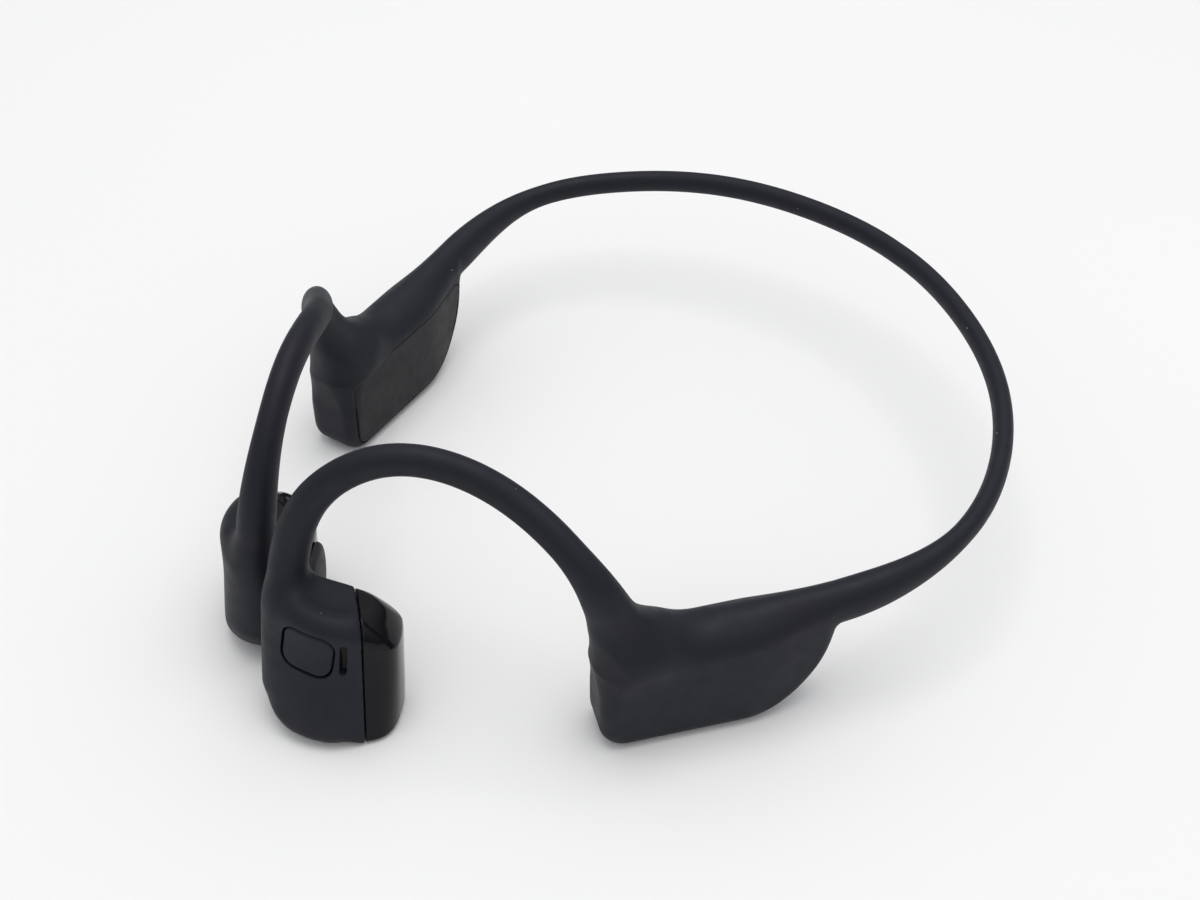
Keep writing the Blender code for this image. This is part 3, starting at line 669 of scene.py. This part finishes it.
GRID_LOW, GRID_HIGH = (-2.0, -64.0, -1.2), (54.0, 62.0, 44.4)
HOOK_BLEND = (7.5, 28.0)  # distances from the hook's root of the two ends that hook_blend works out
BAND_BLEND = 22.0


def hook_blend(piece, side_name, side):
    """Works out the two ends along the hook and bakes the piece's transform into its mesh; the piece is not bent."""
    run = HOOK_TIP - HOOK_ROOT
    run[2] = 0
    run /= np.linalg.norm(run)
    ends = [(HOOK_ROOT + DRAWN_FROM + run * distance) * MM * (side, 1, 1) for distance in HOOK_BLEND]
    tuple(ends[0])
    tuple(ends[1])
    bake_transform(piece)


def band_blend(piece, side_name, side):
    rear = module.matrix @ np.array([0, 1, 0])
    ends = [(HINGE + DRAWN_FROM + rear * distance) * MM * (side, 1, 1) for distance in (BAND_BLEND, 0.0)]
    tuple(ends[0])
    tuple(ends[1])
    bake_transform(piece)


def build_skins(side_name, side, look):
    """One side's silicone skin, and its half of the neckband's, from one surface cut at the module's rear."""
    whole = field_object(f"{side_name}_whole", lambda p: skin_field(p, side_name), GRID_LOW, GRID_HIGH, CELL, side)
    rear = module.matrix @ np.array([0, 1, 0])
    rear = Vector((rear[0] * side, rear[1], 0))
    hinge = Vector((HINGE + DRAWN_FROM) * MM * (side, 1, 1))
    skin = split_part(whole, f"{side_name}_skin", [(hinge, -rear)])
    band = split_part(whole, f"{side_name}_band_skin", [(hinge, rear), ((0, 0, 0), (side, 0, 0))])
    bpy.data.objects.remove(whole)
    cut_openings(skin, side_name, side)
    for piece in (skin, band):
        piece.data.materials.clear()
        piece.data.materials.append(look)
    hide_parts(f"{side_name}_module_shell", f"{side_name}_hook_sleeve", f"{side_name}_pod_shell")
    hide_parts("neckband_sleeve")
    hook_blend(skin, side_name, side)
    band_blend(band, side_name, side)


def node_middle(node, place, side=1.0):
    """The middle of a CAD node's box in a place's local frame, in mm."""
    low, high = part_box(node)
    middle = (np.array((low + high) / 2) / MM - DRAWN_FROM) * (side, 1, 1)
    return place.local(middle[None])[0]


def cut_openings(skin, side_name, side):
    cutters = []
    if side_name == "left":
        loop = rounded_loop(BUTTON_WIDTH + 0.5, BUTTON_HEIGHT + 0.5, BUTTON_CORNER + 0.25)
        cutters.append(prism("button_cutter", loop, -6, 2.2, button))
        pod = pods["left"]
        x, _, z = node_middle("microphone_mesh", pod)
        cutters.append(prism("mic_cutter", rounded_loop(MIC_WIDTH, MIC_HEIGHT, 0.49, (x, z)), -12, -3.6, pod))
    else:
        for name in ("volume_up_button", "volume_down_button"):
            _, y, _ = node_middle(name, module, side)
            loop = rounded_loop(2.3, 4.7, 1.1, (0, y))
            cutters.append(prism(name + "_cutter", loop, -2, 4, module, side, "z"))
        _, y, z = node_middle("charge_contact_block", module, side)
        loop = rounded_loop(CHARGE_LENGTH, CHARGE_HEIGHT, CHARGE_HEIGHT / 2 - 0.05, (y, z))
        cutters.append(prism("charge_cutter", loop, 2.4, 9, module, side, "x"))
        _, y, _ = node_middle("status_light_pipe", module, side)
        cutters.append(prism("light_cutter", rounded_loop(1.5, 1.5, 0.74, (0, y)), -2, 4, module, side, "z"))
    cut(skin, cutters)


def build_panel(side_name, side, look):
    """The inner panel of the ear module, flush in the skin."""
    def field(points):
        local = module.local(points)
        outer = module_field(points) + 0.03
        inner = -(module_field(points) + MODULE_WALL)
        edge = panel_outline(local[:, 1], local[:, 2]) + PANEL_GAP
        value = smooth_max(smooth_max(outer, inner, 0.2), edge, 0.15)
        return smooth_max(value, local[:, 0] - PANEL_DEPTH + 0.2, 0.2)

    piece = field_object(f"{side_name}_module_panel", field, (22, -32, -1), (48, 8, 19), 0.2, side)
    finish(piece, look, "cover", f"{side_name}_arm", f"{side_name}_module_cover")


def finish(piece, look, slot, body, *nodes):
    piece.data.materials.clear()
    piece.data.materials.append(look)
    if nodes:
        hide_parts(*nodes)
    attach(piece, body)


def build_housing(side_name, side, look):
    """The glossy end piece of the pod, stepped in a little under the skin's edge."""
    def field(points):
        outer = pod_field(points, side_name) + HOUSING_STEP
        value = smooth_max(outer, -(outer + POD_WALL), 0.2)
        return smooth_max(value, -pod_split(points, side_name) + POD_SEAM, 0.3)

    piece = field_object(f"{side_name}_housing", field, (6, -60, -2), (24, -38, 24), FINE_CELL, side)
    finish(piece, look, "gloss", f"{side_name}_pod", f"{side_name}_pod_housing")


def build_pad(side_name, side, look):
    """The soft pad that touches the skin, crowned, on the pod's inner face."""
    pod = pods[side_name]
    middle = node_middle(f"{side_name}_contact_pad", pod, side)
    width, height = PAD_SIZE

    def field(points):
        x, y, z = pod.local(points).T
        across, up = x - middle[0], z - middle[2]
        outline = rounded_box(across, up, width, height, PAD_CORNER)
        crown = 1.3 * (1 - 0.35 * (2 * across / width) ** 2 - 0.35 * (2 * up / height) ** 2)
        depth = pod_field(points, side_name) - 0.05
        value = smooth_max(smooth_max(outline, depth - crown, 0.9), -depth, 0.15)
        return smooth_max(value, -y, 0.2)

    piece = field_object(f"{side_name}_pad", field, (-4, -58, -2), (22, -38, 24), FINE_CELL, side)
    finish(piece, look, "pad", f"{side_name}_pod", f"{side_name}_contact_pad")


def build_button(look):
    """The key, flush with the pod's face, with softened edges."""
    def field(points):
        x, y, z = button.local(points).T
        outer, _ = side_fields(points, "left")
        outline = rounded_box(x, z, BUTTON_WIDTH, BUTTON_HEIGHT, BUTTON_CORNER)
        value = smooth_max(outer + 0.03, outline, 0.45)
        return smooth_max(value, y - KEY_BACK, 0.2)

    piece = field_object("multifunction_key", field, (-3, -66, 6), (18, -48, 22), FINE_CELL)
    finish(piece, look, "silicone", "multifunction_button", "multifunction_button")


def build_core(sweep, start, end, name, offset, radius, side, look, nodes, fasten, slot):
    """A round wire laid beside the sweep's middle line, from start to end in mm."""
    keep = (sweep.run >= start) & (sweep.run <= end)
    centre = (sweep.line + sweep.other * offset)[keep]
    across, other = sweep.across[keep], sweep.other[keep]
    count = 12
    turns = 2 * math.pi * np.arange(count) / count
    ring = np.cos(turns)[:, None, None] * across + np.sin(turns)[:, None, None] * other
    points = (centre + ring * radius).transpose(1, 0, 2)
    rings = len(points)
    k = np.arange(count)
    faces = []
    for i in range(rings - 1):
        a, b = i * count, (i + 1) * count
        faces.append(np.stack([a + k, a + (k + 1) % count, b + (k + 1) % count, b + k], 1))
    made = mesh_object(name, points.reshape(-1, 3), np.concatenate(faces), side)
    shape = bmesh.new()
    shape.from_mesh(made.data)
    bmesh.ops.holes_fill(shape, edges=[e for e in shape.edges if e.is_boundary], sides=0)
    bmesh.ops.recalc_face_normals(shape, faces=shape.faces)
    shape.to_mesh(made.data)
    shape.free()
    made.data.shade_smooth()
    made.data.set_sharp_from_angle(angle=math.radians(40))
    made.data.materials.append(look)
    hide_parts(*nodes)
    fasten(made)


def build_cores(side_name, side, looks):
    """The sprung wire and the cable inside the hook and inside each half of the neckband."""
    hook = HOOKS[side_name]
    middle = BAND.run_at(np.array([0.0, 57.3, 22.0]))
    half = Sweep.__new__(Sweep)
    keep = BAND.run <= middle
    for key in ("line", "across", "other", "run"):
        setattr(half, key, getattr(BAND, key)[keep])
    for kind, offset, radius in (("wire", CORE_OFFSET, WIRE_RADIUS), ("cable", -CORE_OFFSET, CABLE_RADIUS)):
        slot = {"wire": "titanium", "cable": "cable"}[kind]
        build_core(
            hook, hook.run_at(HOOK_ROOT), hook.run_at(HOOK_TIP), f"{side_name}_hook_{kind}_run", offset, radius, side, looks[slot],
            [f"{side_name}_hook_{kind}"], lambda piece: hook_blend(piece, side_name, side), slot,
        )
        build_core(
            half, BAND.run_at(HINGE), middle, f"{side_name}_band_{kind}_run", offset, radius, side, looks[slot],
            [f"neckband_{kind}"], lambda piece: band_blend(piece, side_name, side), slot,
        )


# --- materials -----------------------------------------------------------------------------------


class Nodes:
    """A material's node tree, built a node at a time."""

    def __init__(self, name):
        self.material = bpy.data.materials.new(name)
        self.material.use_nodes = True
        self.tree = self.material.node_tree
        self.shader = self.tree.nodes["Principled BSDF"]
        self.where = self.add("ShaderNodeTexCoord").outputs["Object"]

    def add(self, kind, inputs=None, **settings):
        node = self.tree.nodes.new(kind)
        for key, value in settings.items():
            setattr(node, key, value)
        for key, value in (inputs or {}).items():
            if isinstance(value, bpy.types.NodeSocket):
                self.tree.links.new(value, node.inputs[key])
            else:
                node.inputs[key].default_value = value
        return node

    def noise(self, scale, detail=3.0, roughness=0.5):
        made = self.add(
            "ShaderNodeTexNoise",
            {"Vector": self.where, "Scale": scale, "Detail": detail, "Roughness": roughness},
        )
        return made.outputs["Fac"]

    def math(self, operation, a, b=0.0):
        return self.add("ShaderNodeMath", {0: a, 1: b}, operation=operation).outputs[0]

    def ramp(self, value, low, high, start, end):
        """The value mapped from low..high to start..end, held at both ends."""
        inputs = {"Value": value, "From Min": low, "From Max": high, "To Min": start, "To Max": end}
        return self.add("ShaderNodeMapRange", inputs).outputs[0]

    def mix(self, share, first, second):
        made = self.add("ShaderNodeMix", {"Factor": share, "A": first, "B": second}, data_type="RGBA")
        return made.outputs["Result"]

    def set(self, **inputs):
        for key, value in inputs.items():
            name = key.replace("_", " ")
            if isinstance(value, bpy.types.NodeSocket):
                self.tree.links.new(value, self.shader.inputs[name])
            else:
                self.shader.inputs[name].default_value = value
        return self

    def bump(self, height, depth, strength=1.0):
        """A bump of so many metres."""
        made = self.add("ShaderNodeBump", {"Height": height, "Distance": depth, "Strength": strength})
        self.tree.links.new(made.outputs["Normal"], self.shader.inputs["Normal"])
        return self


def rgb(*values):
    return (*values, 1.0)


def silicone_look():
    """Soft-touch silicone: very dark blue-black, a fine matt grain, faint handling marks and specks of dust."""
    n = Nodes("silicone_skin")
    cloud = n.noise(55.0, 3.0)
    tint = n.mix(cloud, rgb(0.0118, 0.0110, 0.0172), rgb(0.0113, 0.0140, 0.0212))
    speck = n.add("ShaderNodeTexVoronoi", {"Vector": n.where, "Scale": 330.0, "Randomness": 1.0})
    chosen = n.ramp(n.add("ShaderNodeSeparateColor", {0: speck.outputs["Color"]}).outputs[0], 0.80, 0.805, 0.0, 1.0)
    dot = n.math("MULTIPLY", n.ramp(speck.outputs["Distance"], 0.022, 0.040, 1.0, 0.0), chosen)
    n.set(
        Base_Color=n.mix(dot, tint, rgb(0.34, 0.35, 0.37)),
        Roughness=n.ramp(n.noise(420.0, 4.0), 0.3, 0.7, 0.50, 0.60),
        Specular_IOR_Level=0.22,
    )
    grain = n.noise(9000.0, 2.0)
    return n.bump(n.math("ADD", grain, n.math("MULTIPLY", dot, 3.0)), 0.000006).material


def gloss_look():
    """Piano-black plastic with a trace of orange peel and hairline wipes."""
    n = Nodes("gloss_housing")
    wipes = n.noise(700.0, 5.0)
    n.set(
        Base_Color=n.mix(n.noise(80.0), rgb(0.006, 0.006, 0.008), rgb(0.009, 0.009, 0.011)),
        Roughness=n.ramp(wipes, 0.35, 0.7, 0.06, 0.13),
        Specular_IOR_Level=0.15,
    )
    return n.bump(n.noise(600.0, 2.0), 0.000002).material


def moulded_look(name, dark, light, rough=(0.42, 0.55), grain=5000.0, depth=0.000008):
    """Matt moulded plastic or rubber with a spark-eroded grain."""
    n = Nodes(name)
    n.set(
        Base_Color=n.mix(n.noise(90.0), rgb(*dark), rgb(*light)),
        Roughness=n.ramp(n.noise(500.0, 4.0), 0.3, 0.7, *rough),
        Specular_IOR_Level=0.22,
    )
    return n.bump(n.noise(grain, 3.0), depth).material


def metal_look(name, dark, light, rough, stretch, grain=3000.0):
    """Metal with fine drawn or turned lines, stretched along one direction."""
    n = Nodes(name)
    scaled = n.add("ShaderNodeMapping", {"Vector": n.where, "Scale": stretch}).outputs[0]
    lines = n.add("ShaderNodeTexNoise", {"Vector": scaled, "Scale": grain, "Detail": 4.0}).outputs["Fac"]
    n.set(
        Base_Color=n.mix(n.noise(300.0), rgb(*dark), rgb(*light)),
        Metallic=1.0,
        Roughness=n.ramp(lines, 0.3, 0.7, *rough),
    )
    return n.bump(lines, 0.000004).material


def winding_look():
    """Enamelled copper wire wound in a fine coil."""
    n = Nodes("copper_winding")
    turns = n.add("ShaderNodeTexWave", {"Vector": n.where, "Scale": 3500.0, "Distortion": 0.4}, bands_direction="Y")
    n.set(
        Base_Color=n.mix(turns.outputs["Fac"], rgb(0.30, 0.11, 0.04), rgb(0.78, 0.36, 0.16)),
        Metallic=1.0,
        Roughness=0.32,
    )
    return n.bump(turns.outputs["Fac"], 0.00003).material


def board_look():
    """Green solder mask over copper tracks."""
    n = Nodes("circuit_board")
    tracks = n.add(
        "ShaderNodeTexBrick",
        {"Vector": n.where, "Scale": 900.0, "Mortar Size": 0.09, "Color1": rgb(0, 0, 0), "Color2": rgb(0, 0, 0),
         "Mortar": rgb(1, 1, 1)},
    ).outputs["Fac"]
    n.set(
        Base_Color=n.mix(tracks, rgb(0.012, 0.085, 0.035), rgb(0.03, 0.16, 0.07)),
        Roughness=n.ramp(n.noise(800.0), 0.3, 0.7, 0.25, 0.4),
    )
    return n.bump(tracks, 0.00002).material


def weave_look():
    """A dark woven acoustic mesh."""
    n = Nodes("acoustic_mesh")
    threads = []
    for direction in ("X", "Z"):
        wave = n.add("ShaderNodeTexWave", {"Vector": n.where, "Scale": 5200.0}, bands_direction=direction)
        threads.append(wave.outputs["Fac"])
    weave = n.math("MAXIMUM", *threads)
    n.set(
        Base_Color=n.mix(weave, rgb(0.003, 0.003, 0.003), rgb(0.03, 0.03, 0.033)),
        Metallic=0.4,
        Roughness=0.5,
    )
    return n.bump(weave, 0.00003).material


def lens_look():
    n = Nodes("light_pipe")
    n.set(
        Base_Color=n.mix(n.noise(600.0), rgb(0.75, 0.76, 0.78), rgb(0.85, 0.86, 0.88)),
        Roughness=n.ramp(n.noise(900.0), 0.3, 0.7, 0.12, 0.25),
        Transmission_Weight=0.35,
    )
    return n.material


def foil_look():
    """The crinkled foil pouch of the battery."""
    n = Nodes("battery_foil")
    creases = n.noise(1100.0, 6.0, 0.65)
    n.set(
        Base_Color=n.mix(n.noise(200.0), rgb(0.50, 0.52, 0.54), rgb(0.66, 0.67, 0.69)),
        Metallic=0.9,
        Roughness=n.ramp(creases, 0.3, 0.7, 0.28, 0.45),
    )
    return n.bump(creases, 0.00006).material


def make_looks():
    return {
        "silicone": silicone_look(),
        "gloss": gloss_look(),
        "cover": moulded_look("moulded_cover", (0.0118, 0.0118, 0.0142), (0.0140, 0.0145, 0.0170), (0.46, 0.58)),
        "pad": moulded_look("skin_pad", (0.016, 0.017, 0.020), (0.021, 0.022, 0.026), (0.50, 0.62), 7000.0),
        "seal": moulded_look("rubber_seal", (0.040, 0.040, 0.045), (0.055, 0.055, 0.060), (0.60, 0.75)),
        "cable": moulded_look("cable_jacket", (0.28, 0.030, 0.025), (0.36, 0.045, 0.035), (0.35, 0.5)),
        "titanium": metal_look("titanium_wire", (0.36, 0.35, 0.34), (0.46, 0.45, 0.43), (0.25, 0.42), (1, 1, 0.05)),
        "steel": metal_look("pressed_steel", (0.50, 0.51, 0.53), (0.60, 0.61, 0.63), (0.22, 0.36), (1, 0.06, 1)),
        "magnet": metal_look("nickel_magnet", (0.56, 0.55, 0.52), (0.66, 0.65, 0.61), (0.16, 0.28), (1, 1, 1)),
        "gold": metal_look("gold_contact", (0.78, 0.56, 0.24), (0.88, 0.68, 0.32), (0.18, 0.30), (1, 1, 1)),
        "copper": winding_look(),
        "board": board_look(),
        "battery": foil_look(),
        "mesh": weave_look(),
        "lens": lens_look(),
    }


def paint_nodes(looks):
    """Gives each CAD node that is still shown its slot's look."""
    slots = {part["node"]: part["material_slot"] for part in frame["record"]["subparts"]}
    for name, node in frame["nodes"].items():
        if node.hide_render:
            continue
        node.data.materials.clear()
        node.data.materials.append(looks[slots[name]])
        bevel = node.modifiers.new("soft_edge", "BEVEL")
        bevel.width = 0.00008
        bevel.segments = 2
        bevel.limit_method = "ANGLE"
        bevel.angle_limit = math.radians(40)


# --- stage ---------------------------------------------------------------------------------------


def build_floor():
    mesh = bpy.data.meshes.new("floor")
    shape = bmesh.new()
    bmesh.ops.create_grid(shape, x_segments=1, y_segments=1, size=1.5)
    shape.to_mesh(mesh)
    shape.free()
    floor = bpy.data.objects.new("floor", mesh)
    bpy.context.scene.collection.objects.link(floor)
    n = Nodes("white_sheet")
    n.set(
        Base_Color=n.mix(n.noise(4.0, 2.0), rgb(0.86, 0.86, 0.865), rgb(0.90, 0.90, 0.90)),
        Roughness=0.7,
        Specular_IOR_Level=0.2,
    )
    mesh.materials.append(n.material)


def area_light(name, place, target, size, power, colour):
    data = bpy.data.lights.new(name, "AREA")
    data.shape = "DISK"
    data.size = size
    data.energy = power
    data.color = colour
    light = bpy.data.objects.new(name, data)
    light.location = place
    light.rotation_euler = (Vector(target) - Vector(place)).to_track_quat("-Z", "Y").to_euler()
    bpy.context.scene.collection.objects.link(light)


def build_light():
    world = bpy.data.worlds.new("studio")
    bpy.context.scene.world = world
    world.use_nodes = True
    tree = world.node_tree
    background = tree.nodes["Background"]
    direction = tree.nodes.new("ShaderNodeTexCoord")
    split = tree.nodes.new("ShaderNodeSeparateXYZ")
    climb = tree.nodes.new("ShaderNodeMapRange")
    tree.links.new(direction.outputs["Generated"], split.inputs[0])
    tree.links.new(split.outputs["Z"], climb.inputs["Value"])
    climb.interpolation_type = "SMOOTHSTEP"
    for key, value in (("From Min", 0.05), ("From Max", 0.60), ("To Min", 0.12), ("To Max", 0.86)):
        climb.inputs[key].default_value = value
    tree.links.new(climb.outputs[0], background.inputs["Strength"])
    background.inputs["Color"].default_value = rgb(0.98, 0.99, 1.0)
    area_light("softbox", (0.02, 0.05, 0.78), (0.0, 0.0, 0.0), 0.60, 2.3, (1.0, 0.985, 0.975))


CAMERA_PLACE = Vector((0.1571, -0.11695, 0.1901))
CAMERA_AZIMUTH, CAMERA_ELEVATION, CAMERA_ROLL = 53.3, 42.39, 0.41
CAMERA_LENS = 54.0


def build_camera():
    azimuth, elevation = math.radians(CAMERA_AZIMUTH), math.radians(CAMERA_ELEVATION)
    flat = math.cos(elevation)
    ahead = Vector((-math.sin(azimuth) * flat, math.cos(azimuth) * flat, -math.sin(elevation)))
    level = Vector((math.cos(azimuth), math.sin(azimuth), 0.0))
    above = level.cross(ahead)
    roll = math.radians(CAMERA_ROLL)
    right = level * math.cos(roll) + above * math.sin(roll)
    up = above * math.cos(roll) - level * math.sin(roll)
    data = bpy.data.cameras.new("camera")
    data.lens = CAMERA_LENS
    data.clip_start = 0.01
    camera = bpy.data.objects.new("camera", data)
    turn = Matrix((right, up, -ahead)).transposed().to_4x4()
    camera.matrix_world = Matrix.Translation(CAMERA_PLACE) @ turn
    bpy.context.scene.collection.objects.link(camera)
    bpy.context.scene.camera = camera
    bpy.context.scene.view_settings.view_transform = "Standard"


# --- the whole scene -----------------------------------------------------------------------------


def build_side(side_name, side, looks):
    build_skins(side_name, side, looks["silicone"])
    build_panel(side_name, side, looks["cover"])
    build_housing(side_name, side, looks["gloss"])
    build_pad(side_name, side, looks["pad"])
    build_cores(side_name, side, looks)


looks = make_looks()
for side_name, side in SIDES.items():
    build_side(side_name, side, looks)
build_button(looks["silicone"])
paint_nodes(looks)
build_floor()
build_light()
build_camera()
